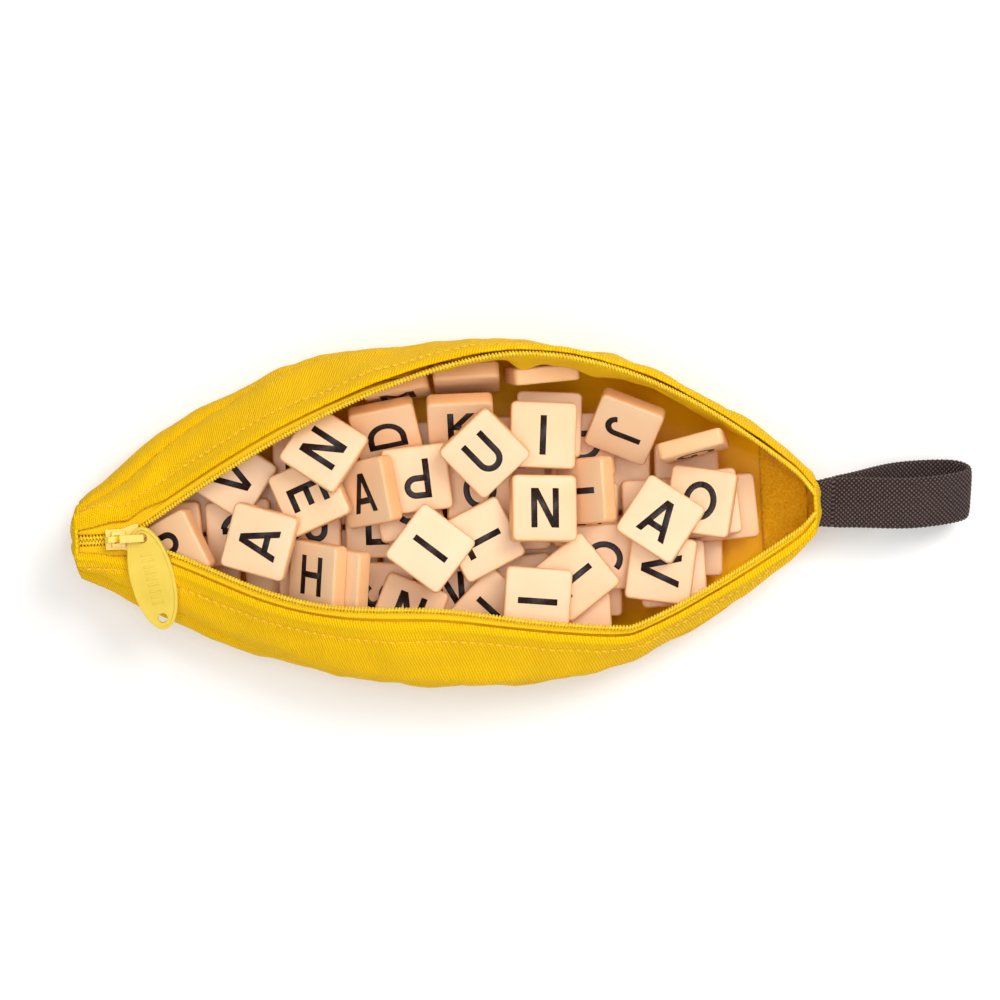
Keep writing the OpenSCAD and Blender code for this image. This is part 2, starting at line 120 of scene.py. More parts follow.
# Zip and webbing: the rows part at SPLIT_X
SPLIT_X = -86.5
CLOSED_Y = 1.76
ROW_R = 0.8
ROW_CLEAR = 0.22
TAPE_DEPTH = 1.5
TAPE_T = 0.6
TAPE_W = 9.0
STRAND = 1.31
LOOP_ROOT = (HALF_LEN + 4.7, 0.0, END_MIDDLE)


def mix(a, b, share):
    return a + (b - a) * share


def belly_y(x, side):
    peak = BELLY_PEAK[side]
    away = np.where(x < peak, (peak - x) / (peak + HALF_LEN), (x - peak) / (HALF_LEN - peak))
    return mix(BELLY[side], END_Y, away ** BELLY_POWER[side])


def keel_z(x):
    past = np.maximum(0, np.abs(x) - FLAT_HALF) / (HALF_LEN - FLAT_HALF)
    return KEEL_RISE * past ** 2


def belly_z(x):
    return keel_z(x) + mix(BELLY_HIGH, BELLY_LOW, (x / HALF_LEN) ** 2)


def rim_y(x, side):
    """Distance of a rim from the middle: an arch that still stands out at the stem.

    The front one also swells near the nose, and both turn inwards in a rounded corner at the stem.
    """
    peak, rise, fall, reach = RIM_ARCH[side]
    up = reach * (1 - np.clip((peak - x) / (peak - SPLIT_X), 0, 1) ** rise)
    down = reach - (reach - STEM_REACH) * np.clip((x - peak) / (HALF_LEN - peak), 0, 1) ** fall
    swell = 0
    if side < 0:
        away = np.clip(np.abs(x - SWELL_X) / (SWELL_X - SPLIT_X), 0, 1)
        swell = SWELL * np.cos(np.pi / 2 * away) ** 2
    corner = np.sqrt(1 - 0.8 * np.clip((x - HALF_LEN + CORNER_RUN) / CORNER_RUN, 0, 1) ** 2)
    return CLOSED_Y + corner * np.where(x <= SPLIT_X, 0, np.where(x < peak, up, down) + swell)


def rim_z(x, side):
    share = np.clip((x - SPLIT_X) / (HALF_LEN - SPLIT_X), 0, 1)
    return END_TOP + (RIM_TOP[side] - END_TOP) * np.sin(np.pi * share) ** 1.3


def roundness(x):
    """1 where the zip is closed and the wall is round, down to 0 where the wall stands straight."""
    return np.where(x < SPLIT_X, 1, np.clip(1 - (x - SPLIT_X) / ROUND_RUN, 0, 1) ** 2)


def section(x, side, s):
    """A point of the outer cross-section: s 0 to 1 the floor, 1 to 2 the belly, 2 to 3 the wall."""
    k, a, b = keel_z(x), belly_y(x, side), belly_z(x)
    f = FLOOR_SHARE * a
    r, h, w = rim_y(x, side), rim_z(x, side), roundness(x)
    turn = np.clip(s - 1, 0, 1) * np.pi / 2
    share = np.clip(s - 2, 0, None)
    wall_y = mix(a - (a - r) * share ** WALL_POWER, r + (a - r) * np.cos(np.pi / 2 * share), w)
    wall_z = mix(b + (h - b) * share, b + (h - b) * np.sin(np.pi / 2 * share), w)
    y = np.where(s < 1, f * s, np.where(s < 2, f + (a - f) * np.sin(turn), wall_y))
    z = np.where(s < 1, k, np.where(s < 2, k + (b - k) * (1 - np.cos(turn)), wall_z))
    return np.stack([y, z], -1)


def inward(x, side, s):
    """Unit direction from the outer cross-section into the pouch."""
    step = section(x, side, np.minimum(s + 0.01, 3)) - section(x, side, np.maximum(s - 0.01, 0))
    step /= np.maximum(np.linalg.norm(step, axis=-1, keepdims=True), 1e-9)
    return np.stack([-step[..., 1], step[..., 0]], -1)


def wall_length(x, side):
    """Length of the wall from the belly to the rim: a tenth more than the straight way."""
    return 1.1 * np.hypot(belly_y(x, side) - rim_y(x, side), rim_z(x, side) - belly_z(x))


def below_rim(x, side, distance):
    """The s of a place that lies a distance below the rim."""
    return 3 - distance / wall_length(x, side)


def rim_distance(x, side, s):
    return (3 - s) * wall_length(x, side)


def surface(x, side, s, depth):
    """Points at a depth inside the outer cross-section."""
    p = section(x, side, s) + depth[..., None] * inward(x, side, s)
    return np.stack([x, side * p[..., 0], p[..., 1]], -1)


def rumple(x, y, z, scale, seed):
    """Smooth noise between about -1 and 1, with waves as long as scale."""
    flat = [noise.noise(Vector((a / scale + seed, b / scale, c / scale)))
            for a, b, c in zip(x.ravel(), y.ravel(), z.ravel())]
    return np.array(flat).reshape(x.shape)


def seam_place(x):
    """Height of the belly seam on the wall: it climbs towards the nose."""
    return 2.1 + 0.3 * np.clip((-x - 15) / 70, 0, 1) ** 1.5


def fold_depth(x, side, s):
    """How far the cloth lies inside (+) or outside (-) its plain shape. It fades out at the rim."""
    p = section(x, side, s)
    y, z = side * p[..., 0], p[..., 1]
    low = np.clip((s - 1.1) / 0.6, 0, 1)
    soft = 1.5 * rumple(x, y, z, 30, 3) + 0.8 * rumple(x, y, z, 13, 9) + 0.3 * rumple(x, y, z, 6, 14)
    depth = -0.5 - 1.2 * soft * low
    seam = seam_place(x)
    depth -= 1.3 * low * np.exp(-((s - seam + 0.4) / 0.27) ** 2)
    depth -= 0.9 * np.exp(-((s - seam - 0.24) / 0.16) ** 2)
    depth += 0.75 * np.exp(-np.abs(s - seam) / 0.05)
    depth += 0.3 * np.exp(-np.abs(s - seam) / 0.09) * (1 + np.sin(x / 0.95 + 1.5 * np.sin(x / 6)))
    around = s * 4.2 + (0.7 if side > 0 else 0)
    gather = np.exp(-(x + HALF_LEN) / 13) * np.clip(s - 0.8, 0, 1)
    ripple = 0.6 - 1.3 * np.sin(around * 2.3 + 0.02 * x) ** 2 + 0.3 * np.sin(around * 6.3 + 1.3)
    depth -= 1.1 * gather * ripple
    gather = np.exp(-(HALF_LEN - x) / 10) * np.clip(s - 0.8, 0, 1)
    ripple = 0.6 - 1.3 * np.sin(around * 2.1 + 0.7) ** 2 + 0.3 * np.sin(around * 5.9)
    depth -= 1.0 * gather * ripple
    slant = x / 6.5 + side * 3.1 * (s - 2) + 2.5 * rumple(x, y, z, 40, 21)
    crease = np.maximum(rumple(x, x * 0, s * 9, 19, 5) + 0.15, 0) * np.exp(-((s - 2.45) / 0.4) ** 2)
    depth -= 1.5 * crease * (1 - np.abs(np.sin(slant)))
    return np.minimum(depth, 0.3) * np.clip((3 - s) / 0.3, 0, 1) ** 0.8


# Mesh helpers
HEM_ROUND = 0.35
HEM_RUN = 0.9
THREAD_SIDES = 6


def mesh_object(name, points, faces, uv=None):
    """A smooth object from points in millimetres, with its normals turned outwards."""
    mesh = bpy.data.meshes.new(name)
    mesh.from_pydata([tuple(p) for p in np.asarray(points) * MM], [], faces)
    mesh.validate()
    if uv is not None:
        layer = mesh.uv_layers.new(name="UVMap")
        loops = np.zeros(len(mesh.loops), int)
        mesh.loops.foreach_get("vertex_index", loops)
        layer.data.foreach_set("uv", (np.asarray(uv)[loops] * MM).ravel())
    work = bmesh.new()
    work.from_mesh(mesh)
    bmesh.ops.recalc_face_normals(work, faces=work.faces)
    work.to_mesh(mesh)
    work.free()
    mesh.polygons.foreach_set("use_smooth", [True] * len(mesh.polygons))
    return new_object(name, mesh)


def ring_faces(count, size, start=0):
    """Faces between closed rings of points."""
    faces = []
    for i in range(count - 1):
        for j in range(size):
            a, b = start + i * size + j, start + i * size + (j + 1) % size
            faces.append((a, b, b + size, a + size))
    return faces


def tube_faces(count, size):
    """Faces between closed rings of points, and one over each end."""
    return ring_faces(count, size) + [tuple(range(size)), tuple(range((count - 1) * size, count * size))]


def run_lengths(path):
    """Distance along a path from its first point to each point."""
    return np.concatenate([[0], np.cumsum(np.linalg.norm(np.diff(path, axis=0), axis=1))])


def shell(name, outer, inner, uv_outer):
    """A closed piece of cloth between an outer and an inner grid, with rounded long edges."""
    nx, ns = outer.shape[:2]
    lip = []
    for j, k in ((-1, -2), (0, 1)):
        away = outer[:, j] - outer[:, k] + inner[:, j] - inner[:, k]
        away /= np.maximum(np.linalg.norm(away, axis=-1, keepdims=True), 1e-9)
        lip.append((outer[:, j] + inner[:, j]) / 2 + away * HEM_ROUND)
    rings = np.concatenate([outer, lip[0][:, None], inner[:, ::-1], lip[1][:, None]], 1)
    uv = np.concatenate([uv_outer, uv_outer[:, -1:], uv_outer[:, ::-1], uv_outer[:, :1]], 1)
    size = rings.shape[1]
    faces = ring_faces(nx, size)
    for base in (0, (nx - 1) * size):
        for j in range(ns - 1):
            faces.append((base + j, base + j + 1, base + 2 * ns - j - 1, base + 2 * ns - j))
        faces.append((base + ns - 1, base + ns, base + ns + 1))
        faces.append((base, base + 2 * ns, base + 2 * ns + 1))
    return mesh_object(name, rings.reshape(-1, 3), faces, uv.reshape(-1, 2))


def stations(step, start, end):
    return np.linspace(start, end, int((end - start) / step) + 1)


def sheet_grid(side, low, high, count, xs):
    """Places (x, s) of a grid, and its flat coordinates in millimetres."""
    lows = np.array([low(x) if callable(low) else low for x in xs])
    highs = np.array([high(x) if callable(high) else high for x in xs])
    t = np.linspace(0, 1, count)
    s = lows[:, None] + (highs - lows)[:, None] * t[None]
    x = np.repeat(xs[:, None], count, 1)
    p = section(x, side, s)
    run = np.zeros_like(x)
    run[:, 1:] = np.cumsum(np.linalg.norm(np.diff(p, axis=1), axis=-1), 1)
    along = run_lengths(np.column_stack([xs, section(xs, side, lows)]))
    return x, s, np.stack([np.repeat(along[:, None], count, 1), run], -1)


def cloth(name, side, low, high, count, depth, thick, xs, extra=None, hem=0.0):
    """A closed sheet along one side of the pouch, from s = low to s = high."""
    x, s, uv = sheet_grid(side, low, high, count, xs)
    base = fold_depth(x, side, s) + depth
    if extra is not None:
        base = base + extra(x, side, s)
    if hem:
        top = np.minimum(uv[:, -1:, 1] - uv[..., 1], uv[..., 1] - uv[:, :1, 1])
        base = base + hem * np.exp(-(top / HEM_RUN) ** 2)
    return shell(name, surface(x, side, s, base), surface(x, side, s, base + thick), uv)


def sweep(path, radius):
    """Points and faces of a round thread along a path."""
    step = np.gradient(path, axis=0)
    step /= np.linalg.norm(step, axis=1, keepdims=True)
    up = np.zeros_like(path)
    last = np.array([0.31, 0.17, 0.93])
    for i, t in enumerate(step):
        last = last - t * last.dot(t)
        last /= np.linalg.norm(last)
        up[i] = last
    across = np.cross(step, up)
    turn = np.linspace(0, 2 * np.pi, THREAD_SIDES, endpoint=False)
    rings = (path[:, None] + radius * (np.cos(turn)[None, :, None] * up[:, None]
                                       + np.sin(turn)[None, :, None] * across[:, None]))
    return rings.reshape(-1, 3), tube_faces(len(path), THREAD_SIDES)


def joined(name, parts):
    """One object from several lists of points and faces."""
    points, faces, start = [], [], 0
    for p, f in parts:
        points.append(p)
        faces += [tuple(i + start for i in face) for face in f]
        start += len(p)
    return mesh_object(name, np.concatenate(points), faces)


# Materials
class Shader:
    """A Principled material with short ways to add nodes."""

    def __init__(self, name, **fixed):
        self.material = bpy.data.materials.new(name)
        self.material.use_nodes = True
        self.tree = self.material.node_tree
        self.shader = self.tree.nodes["Principled BSDF"]
        for key, value in fixed.items():
            self.shader.inputs[key.replace("_", " ")].default_value = value

    def add(self, kind, inputs=(), **settings):
        node = self.tree.nodes.new(kind)
        for key, value in settings.items():
            setattr(node, key, value)
        for key, value in (inputs.items() if isinstance(inputs, dict) else enumerate(inputs)):
            self.put(node.inputs[key], value)
        return node

    def put(self, socket, value):
        if isinstance(value, bpy.types.NodeSocket):
            self.tree.links.new(value, socket)
        elif value is not None:
            socket.default_value = value

    def math(self, operation, *values):
        return self.add("ShaderNodeMath", list(values), operation=operation).outputs[0]

    def uv(self):
        split = self.add("ShaderNodeSeparateXYZ", [self.add("ShaderNodeTexCoord").outputs["UV"]])
        return split.outputs[0], split.outputs[1]

    def noise(self, scale, detail=3.0, rough=0.5):
        place = self.add("ShaderNodeTexCoord").outputs["Object"]
        node = self.add("ShaderNodeTexNoise", {"Scale": scale, "Detail": detail, "Roughness": rough,
                                               "Vector": place})
        return node.outputs["Fac"]

    def wave(self, value, pitch, phase=0.0):
        """0 to 1 and back once every pitch metres."""
        turned = self.math("MULTIPLY_ADD", value, 2 * math.pi / pitch, phase)
        return self.math("MULTIPLY_ADD", self.math("SINE", turned), 0.5, 0.5)

    def ramp(self, value, *stops):
        node = self.add("ShaderNodeValToRGB", [value])
        band = node.color_ramp
        while len(band.elements) < len(stops):
            band.elements.new(0.5)
        for element, (place, colour) in zip(band.elements, stops):
            element.position = place
            element.color = (*colour, 1)
        return node.outputs["Color"]

    def tint(self, colour, other, share):
        node = self.add("ShaderNodeMix", data_type="RGBA")
        for place, value in ((0, share), (6, colour), (7, (*other, 1))):
            self.put(node.inputs[place], value)
        return node.outputs[2]

    def finish(self, colour, height=None, distance=0.0, strength=0.0):
        self.put(self.shader.inputs["Base Color"], colour)
        if height is not None:
            bump = self.add("ShaderNodeBump",
                            {"Strength": strength, "Distance": distance, "Height": height})
            self.put(self.shader.inputs["Normal"], bump.outputs["Normal"])
        return self.material


def canvas_material():
    m = Shader("canvas", Roughness=0.85, Sheen_Weight=0.04, Specular_IOR_Level=0.08)
    u, v = m.uv()
    blur = m.noise(900, 2)
    slant = m.math("MULTIPLY_ADD", v, 0.32, u)
    wander = m.math("MULTIPLY_ADD", blur, 0.0003, slant)
    ribs = m.wave(wander, 0.00078)
    picks = m.wave(m.math("MULTIPLY_ADD", blur, 0.0001, v), 0.00045)
    weave = m.math("MULTIPLY_ADD", picks, 0.3, m.math("MULTIPLY", ribs, 0.7))
    broad = m.noise(38, 4)
    # The colour follows the weave: painted shade in the grooves between ribs and picks, lighter on the
    # ribs. Broad noise then shifts the tone at random.
    base = m.ramp(weave, (0.05, (0.80, 0.36, 0.0)), (0.5, (1.0, 0.575, 0.001)), (0.95, (1.0, 0.72, 0.006)))
    weave_shade_and_tone = m.tint(base, (1.0, 0.53, 0.001), m.math("MULTIPLY", broad, 0.4))
    height = m.math("ADD", weave, m.math("MULTIPLY", m.noise(2600, 2), 0.25))
    return m.finish(weave_shade_and_tone, height, 0.00025, 0.8)


def lining_material():
    m = Shader("lining_cloth", Roughness=0.45, Specular_IOR_Level=0.2)
    u, v = m.uv()
    threads = m.math("MULTIPLY_ADD", m.wave(u, 0.00034), 0.5, m.math("MULTIPLY", m.wave(v, 0.0003), 0.5))
    broad = m.noise(30, 3)
    colour = m.ramp(broad, (0.25, (1.0, 0.49, 0.002)), (0.75, (1.0, 0.56, 0.004)))
    height = m.math("ADD", m.math("MULTIPLY", threads, 0.12), m.math("MULTIPLY", m.noise(120, 3), 1.6))
    return m.finish(colour, height, 0.0003, 0.35)


def tape_material():
    m = Shader("zip_tape", Roughness=0.75, Specular_IOR_Level=0.2)
    u, v = m.uv()
    chevron = m.wave(m.math("ADD", u, m.math("MULTIPLY", m.math("PINGPONG", v, 0.0012), 0.8)), 0.0007)
    # The colour follows the chevron weave: painted shade in its grooves, lighter on its ribs.
    colour = m.ramp(chevron, (0.0, (0.84, 0.44, 0.001)), (1.0, (1.0, 0.68, 0.01)))
    return m.finish(colour, m.math("MULTIPLY_ADD", m.noise(1800, 2), 0.3, chevron), 0.0001, 0.5)


def coil_material():
    m = Shader("zip_coil", Roughness=0.38, Specular_IOR_Level=0.35, Subsurface_Weight=0.05)
    colour = m.ramp(m.noise(400, 2), (0.3, (0.95, 0.60, 0.012)), (0.7, (1.0, 0.72, 0.03)))
    return m.finish(colour, m.noise(2500, 2), 0.00004, 0.3)


def enamel_material():
    m = Shader("slider_metal", Roughness=0.3, Specular_IOR_Level=0.6, Coat_Weight=0.4)
    colour = m.ramp(m.noise(160, 3), (0.3, (0.93, 0.56, 0.012)), (0.7, (0.99, 0.66, 0.03)))
    return m.finish(colour, m.noise(700, 3), 0.00005, 0.25)


def tag_material():
    m = Shader("tag_plastic", Roughness=0.42, Specular_IOR_Level=0.45, Subsurface_Weight=0.1)
    m.shader.inputs["Subsurface Radius"].default_value = (0.003, 0.002, 0.0008)
    colour = m.ramp(m.noise(110, 3), (0.3, (0.76, 0.54, 0.045)), (0.7, (0.84, 0.61, 0.07)))
    return m.finish(colour, m.noise(900, 3), 0.00003, 0.3)


def thread_material():
    m = Shader("thread", Roughness=0.6, Sheen_Weight=0.2)
    colour = m.ramp(m.noise(700, 2), (0.3, (0.88, 0.48, 0.004)), (0.7, (1.0, 0.64, 0.015)))
    return m.finish(colour, m.noise(5000, 1), 0.00005, 0.5)


def webbing_material():
    """Dark braided strands: the same crossings as the relief of the loop's mesh, with painted shade in the
    gaps and painted highlights on the crowns of the strands.
    """
    m = Shader("webbing", Roughness=0.55, Specular_IOR_Level=0.35)
    u, v = m.uv()
    a = m.math("DIVIDE", m.math("ADD", u, v), STRAND * MM)
    b = m.math("DIVIDE", m.math("SUBTRACT", u, v), STRAND * MM)
    under = m.math("FLOORED_MODULO", m.math("ADD", m.math("FLOOR", a), m.math("FLOOR", b)), 2.0)
    part_a, part_b = m.math("FRACT", a), m.math("FRACT", b)
    lean = m.math("MULTIPLY", m.math("SUBTRACT", part_a, part_b), under)
    across, along = m.math("ADD", part_b, lean), m.math("SUBTRACT", part_a, lean)
    bulge = m.math("SINE", m.math("MULTIPLY", across, math.pi))
    crown = m.math("MULTIPLY_ADD", m.math("SINE", m.math("MULTIPLY", along, math.pi)), 0.65, 0.35)
    knit = m.math("MULTIPLY", m.math("SQRT", m.math("ABSOLUTE", bulge)), crown)
    fuzz = m.noise(2600, 2)
    shade = m.math("MULTIPLY_ADD", m.math("SUBTRACT", fuzz, 0.5), 0.5, knit)
    # Colour by the crossings: near-black painted shade in the gaps between strands, painted highlights on
    # their crowns.
    colour = m.ramp(shade, (0.2, (0.008, 0.004, 0.004)), (0.65, (0.034, 0.018, 0.016)),
                    (1.0, (0.17, 0.10, 0.085)))
    return m.finish(colour, m.math("MULTIPLY_ADD", fuzz, 0.3, knit), 0.0002, 0.8)


def patch_material():
    m = Shader("patch_cloth", Roughness=0.9, Sheen_Weight=0.1, Specular_IOR_Level=0.1)
    fuzz = m.noise(1500, 4, rough=0.7)
    colour = m.ramp(fuzz, (0.35, (0.84, 0.33, 0.002)), (0.65, (1.0, 0.62, 0.02)))
    return m.finish(colour, fuzz, 0.0004, 0.8)


def tile_material(name, dark, light):
    m = Shader(name, Roughness=0.34, Specular_IOR_Level=0.4, Subsurface_Weight=0.15)
    m.shader.inputs["Subsurface Radius"].default_value = (0.004, 0.002, 0.001)
    shade = m.add("ShaderNodeObjectInfo").outputs["Random"]
    mottle = m.math("MULTIPLY_ADD", m.noise(60, 3), 0.6, m.math("MULTIPLY", shade, 0.4))
    colour = m.ramp(mottle, (0.2, dark), (0.8, light))
    return m.finish(colour, m.noise(1400, 3), 0.00002, 0.35)


def ink_material():
    m = Shader("letter_ink", Roughness=0.42, Specular_IOR_Level=0.25)
    colour = m.ramp(m.noise(900, 2), (0.3, (0.010, 0.005, 0.005)), (0.7, (0.030, 0.016, 0.014)))
    return m.finish(colour, m.noise(2200, 2), 0.00003, 0.4)


CANVAS = canvas_material()
LINING = lining_material()
TAPE = tape_material()
COIL = coil_material()
ENAMEL = enamel_material()
TAG = tag_material()
THREAD = thread_material()
WEBBING = webbing_material()
PATCH = patch_material()
TILE = tile_material("tile_plastic", (0.92, 0.57, 0.31), (0.97, 0.69, 0.44))
# A darker, more orange copy of the tile colour for the sides and bevels: painted shade.
TILE_SIDE = tile_material("tile_side", (0.90, 0.45, 0.18), (0.96, 0.58, 0.30))
INK = ink_material()


def dress(obj, material, slot, body, *nodes):
    """Give an object its material, the body that it rides and the nodes that it replaces. The slot is not
    used.
    """
    obj.data.materials.clear()
    obj.data.materials.append(material)
    if body:
        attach(obj, body)
    if nodes:
        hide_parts(*nodes)
    return obj


# Cloth panels, lining, zip tapes and the patch in the stem
SIDES = ((1, "back"), (-1, "front"))
XS = np.concatenate([stations(0.55, -HALF_LEN, 9 - HALF_LEN), stations(1.1, 10 - HALF_LEN, HALF_LEN - 8),
                     stations(0.5, HALF_LEN - 7.5, HALF_LEN)])
STITCH_DOWN = 6.0
STITCH_PITCH = 2.4
LINING_IN = 5.4
PATCH_LEN = 13


def tape_bare(x):
    """Width of tape left bare below the rim: more where the slider runs."""
    return np.interp(x, (-HALF_LEN, -96, -91, -82, -76), (1.7, 2.0, 2.8, 2.8, 1.5))


def place_below(side, distance):
    """A function of x for a place below the rim; the distance is a number or a function of x."""
    return lambda x: below_rim(x, side, distance(x) if callable(distance) else distance)


def turned_edge(x, side, s):
    """The folded top edge of the canvas: a little thicker, with a dimple along the stitches."""
    down = rim_distance(x, side, s)
    fold = 1 / (1 + np.exp((down - STITCH_DOWN - 1.0) / 0.35))
    pucker = 1 + 0.5 * np.sin(2 * np.pi * x / STITCH_PITCH)
    roll = np.exp(-((down - tape_bare(x) - 1.1) / 0.9) ** 2)
    return 0.32 * pucker * np.exp(-((down - STITCH_DOWN) / 0.6) ** 2) - 0.25 * fold - 0.35 * roll


def lining_folds(x, side, s):
    """Loose folds of the lining where no tiles lie against it, and above them."""
    free = np.clip((x - 83) / 6, 0, 1) * np.clip((HALF_LEN - 3 - x) / 6, 0, 1)
    free *= np.clip((s - 1.0) / 0.5, 0, 1)
    high = np.clip((s - 2.5) / 0.25, 0, 1) * np.clip((x + 50) / 30, 0, 1)
    wave = np.sin(x / 2.4 + 1.7 * side + 3 * s) + 0.6 * np.sin(x / 1.3 + 4 * s)
    swell = rumple(x, x * 0 + side * 20, s * 14, 12, 31) + 0.2
    sag = 0.5 + 3.2 * swell + 0.4 * np.sin(x / 3.2 + 2 * s)
    return np.clip(free * (0.9 + 0.6 * wave) + high * sag, 0, 3.2)


def tape_curl(x, side, s):
    """A ridge below the zip row, and the raw inner edge of the back tape, which curls in and waves."""
    down = rim_distance(x, side, s)
    ridge = -0.4 * np.exp(-((down - 0.85) / 0.34) ** 2) * np.clip((x + 82) / 4, 0, 1)
    if side < 0:
        return ridge
    where = np.clip((x + 34) / 26, 0, 1) * np.clip((96 - x) / 22, 0, 1)
    low = np.clip(down / TAPE_W, 0, 1.2) ** 2
    wave = (np.sin(x / 3.1) + 0.6 * np.sin(x / 1.7 + 1)) * np.exp(-((x - 16) / 26) ** 2)
    return ridge + where * (2.4 * (1 - np.exp(-down / 3)) + low * (1.1 + 1.3 * wave))


for side, word in SIDES:
    dress(cloth(f"canvas_lower_{word}", side, 0.0, seam_place, 38, 0.0, 0.85, XS, hem=0.5),
          CANVAS, "canvas", "pouch", f"lower_{word}_panel")
    dress(cloth(f"canvas_upper_{word}", side, seam_place, place_below(side, tape_bare), 64, 0.0, 0.9, XS,
                extra=turned_edge, hem=0.4),
          CANVAS, "canvas", "pouch", f"upper_{word}_panel")
    dress(cloth(f"lining_{word}", side, 0.0, place_below(side, LINING_IN), 44, 1.15, 0.3, XS,
                extra=lining_folds),
          LINING, "lining_cloth", "pouch", *(["lining"] if side > 0 else []))
    dress(cloth(f"tape_{word}", side, place_below(side, TAPE_W), 3.0, 44, TAPE_DEPTH + 0.1, 0.5, XS,
                extra=tape_curl),
          TAPE, "zip_tape", "pouch", f"zip_tape_{word}")
    dress(cloth(f"patch_{word}", side, 0.0, place_below(side, TAPE_W + 0.6), 26, 1.8, 0.5,
                stations(0.6, HALF_LEN - PATCH_LEN, HALF_LEN - 0.6), extra=lining_folds),
          PATCH, "patch_cloth", "pouch", *(["stem_patch"] if side > 0 else []))


CAP_OUT = 2.7
CAP_PLEAT = 0.28
CAP_THICK = 0.8


def end_cap(name, end, dimple):
    """The blunt end: an oval panel drawn together in soft pleats, pulled in at its middle by dimple."""
    s = np.concatenate([np.linspace(0, 2, 22), np.linspace(2, 3, 18)[1:]])
    x = np.full_like(s, end * HALF_LEN)
    rings = []
    for side in (1, -1):
        p = surface(x, side, s, fold_depth(x, side, s))
        rings.append(p[:, 1:])
    outline = np.concatenate([rings[0], rings[1][:0:-1]])
    middle = np.array([0, END_MIDDLE])
    points, uv = [], []
    angle = np.unwrap(np.arctan2(outline[:, 1] - END_MIDDLE, outline[:, 0]))
    turns = np.radians(np.linspace(0, 88, 16))
    for depth in (0.0, CAP_THICK):
        for turn in turns:
            q = middle + (outline - middle) * math.cos(turn) ** 1.7 * (1 - depth * 0.03)
            pleat = CAP_PLEAT * np.sin(angle * 8 + end) * math.sin(2 * turn) ** 0.7
            pulled = dimple * max(0, 1 - math.cos(turn) * 1.5) ** 2
            out = CAP_OUT * math.sin(turn) ** 1.25 - depth + pleat - pulled
            points.append(np.stack([end * (HALF_LEN - 0.25 + out), q[:, 0], q[:, 1]], -1))
            uv.append(np.stack([angle * 6, np.full_like(angle, 9 * turn)], -1))
    size, count = len(outline), len(turns)
    faces = ring_faces(count, size) + ring_faces(count, size, count * size)
    faces += [tuple((count - 1) * size + j for j in range(size)),
              tuple((2 * count - 1) * size + j for j in range(size))]
    faces += [(j, (j + 1) % size, count * size + (j + 1) % size, count * size + j) for j in range(size)]
    return mesh_object(name, np.concatenate(points), faces, np.concatenate(uv))


dress(end_cap("canvas_nose", -1, 0.6), CANVAS, "canvas", "pouch", "nose_end_panel")
dress(end_cap("canvas_stem", 1, 1.7), CANVAS, "canvas", "pouch", "stem_end_panel")


# Stitches and zip rows
THREAD_R = 0.27
STITCH_DOTS, STITCH_SPAN = 6, 8
COIL_PITCH = 0.9
COIL_WIRE, COIL_CORE = 0.27, 0.36
COIL_DEEP, COIL_HIGH = 0.62, 0.55
COIL_STEPS = 12


def at_places(places, lengths, values):
    return np.stack([np.interp(places, lengths, values[:, k]) for k in range(3)], -1)


def topstitch(name, side):
    """A row of short stitches, a little sunk into the cloth. Each is thinner towards its ends."""
    xs = stations(0.4, 2.5 - HALF_LEN, HALF_LEN - 2.5)
    s = below_rim(xs, side, STITCH_DOWN)
    path = surface(xs, side, s, np.full_like(xs, -0.12) + fold_depth(xs, side, s))
    lengths = run_lengths(path)
    dots = at_places(np.arange(0, lengths[-1], STITCH_PITCH / STITCH_SPAN), lengths, path)
    arch = np.sin(np.linspace(0, np.pi, STITCH_DOTS))
    parts = []
    for start in range(0, len(dots) - STITCH_SPAN, STITCH_SPAN):
        run = dots[start:start + STITCH_DOTS].copy()
        run[:, 2] += 0.3 * arch - 0.25
        ring, faces = sweep(run, THREAD_R)
        ring = ring.reshape(STITCH_DOTS, THREAD_SIDES, 3)
        centre = ring.mean(1, keepdims=True)
        ring = centre + (ring - centre) * (0.35 + 0.65 * arch[:, None, None] ** 0.4)
        parts.append((ring.reshape(-1, 3), faces))
    return joined(name, parts)


def coil(side, start, end, phase):
    """The wound wire of one zip row and the cord in its middle."""
    xs = stations(0.25, start, end)
    s = np.full_like(xs, 3.0)
    middle = section(xs, side, s) + (TAPE_DEPTH + TAPE_T / 2) * inward(xs, side, s)
    tip = inward(xs, side, s)
    along = np.stack([tip[:, 1], -tip[:, 0]], -1)
    centre = middle + (ROW_R + ROW_CLEAR) * along
    path = np.stack([xs, side * centre[:, 0], centre[:, 1]], -1)
    toward = np.stack([xs * 0, side * along[:, 0], along[:, 1]], -1)
    across = np.stack([xs * 0, side * tip[:, 0], tip[:, 1]], -1)
    lengths = run_lengths(path)
    places = np.linspace(0, lengths[-1], int(lengths[-1] / COIL_PITCH * COIL_STEPS))
    turn = 2 * np.pi * places / COIL_PITCH + phase
    line, toward, across = (at_places(places, lengths, values) for values in (path, toward, across))
    helix = line + COIL_DEEP * np.cos(turn)[:, None] * toward + COIL_HIGH * np.sin(turn)[:, None] * across
    return sweep(helix, COIL_WIRE), sweep(line[::COIL_STEPS // 2], COIL_CORE)


for side, word in SIDES:
    dress(topstitch(f"stitches_{word}", side), THREAD, "zip_tape", "pouch")
    row = joined(f"coil_{word}", coil(side, SPLIT_X + 3.1, HALF_LEN - 0.9, 0.0))
    dress(row, COIL, "zip_coil", "pouch", f"zip_row_{word}")
shut = joined("coil_closed", [*coil(1, -HALF_LEN, SPLIT_X, 0.0), *coil(-1, -HALF_LEN, SPLIT_X, math.pi)])
dress(shut, COIL, "zip_coil", "pouch", "zip_rows_closed")
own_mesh(shut)


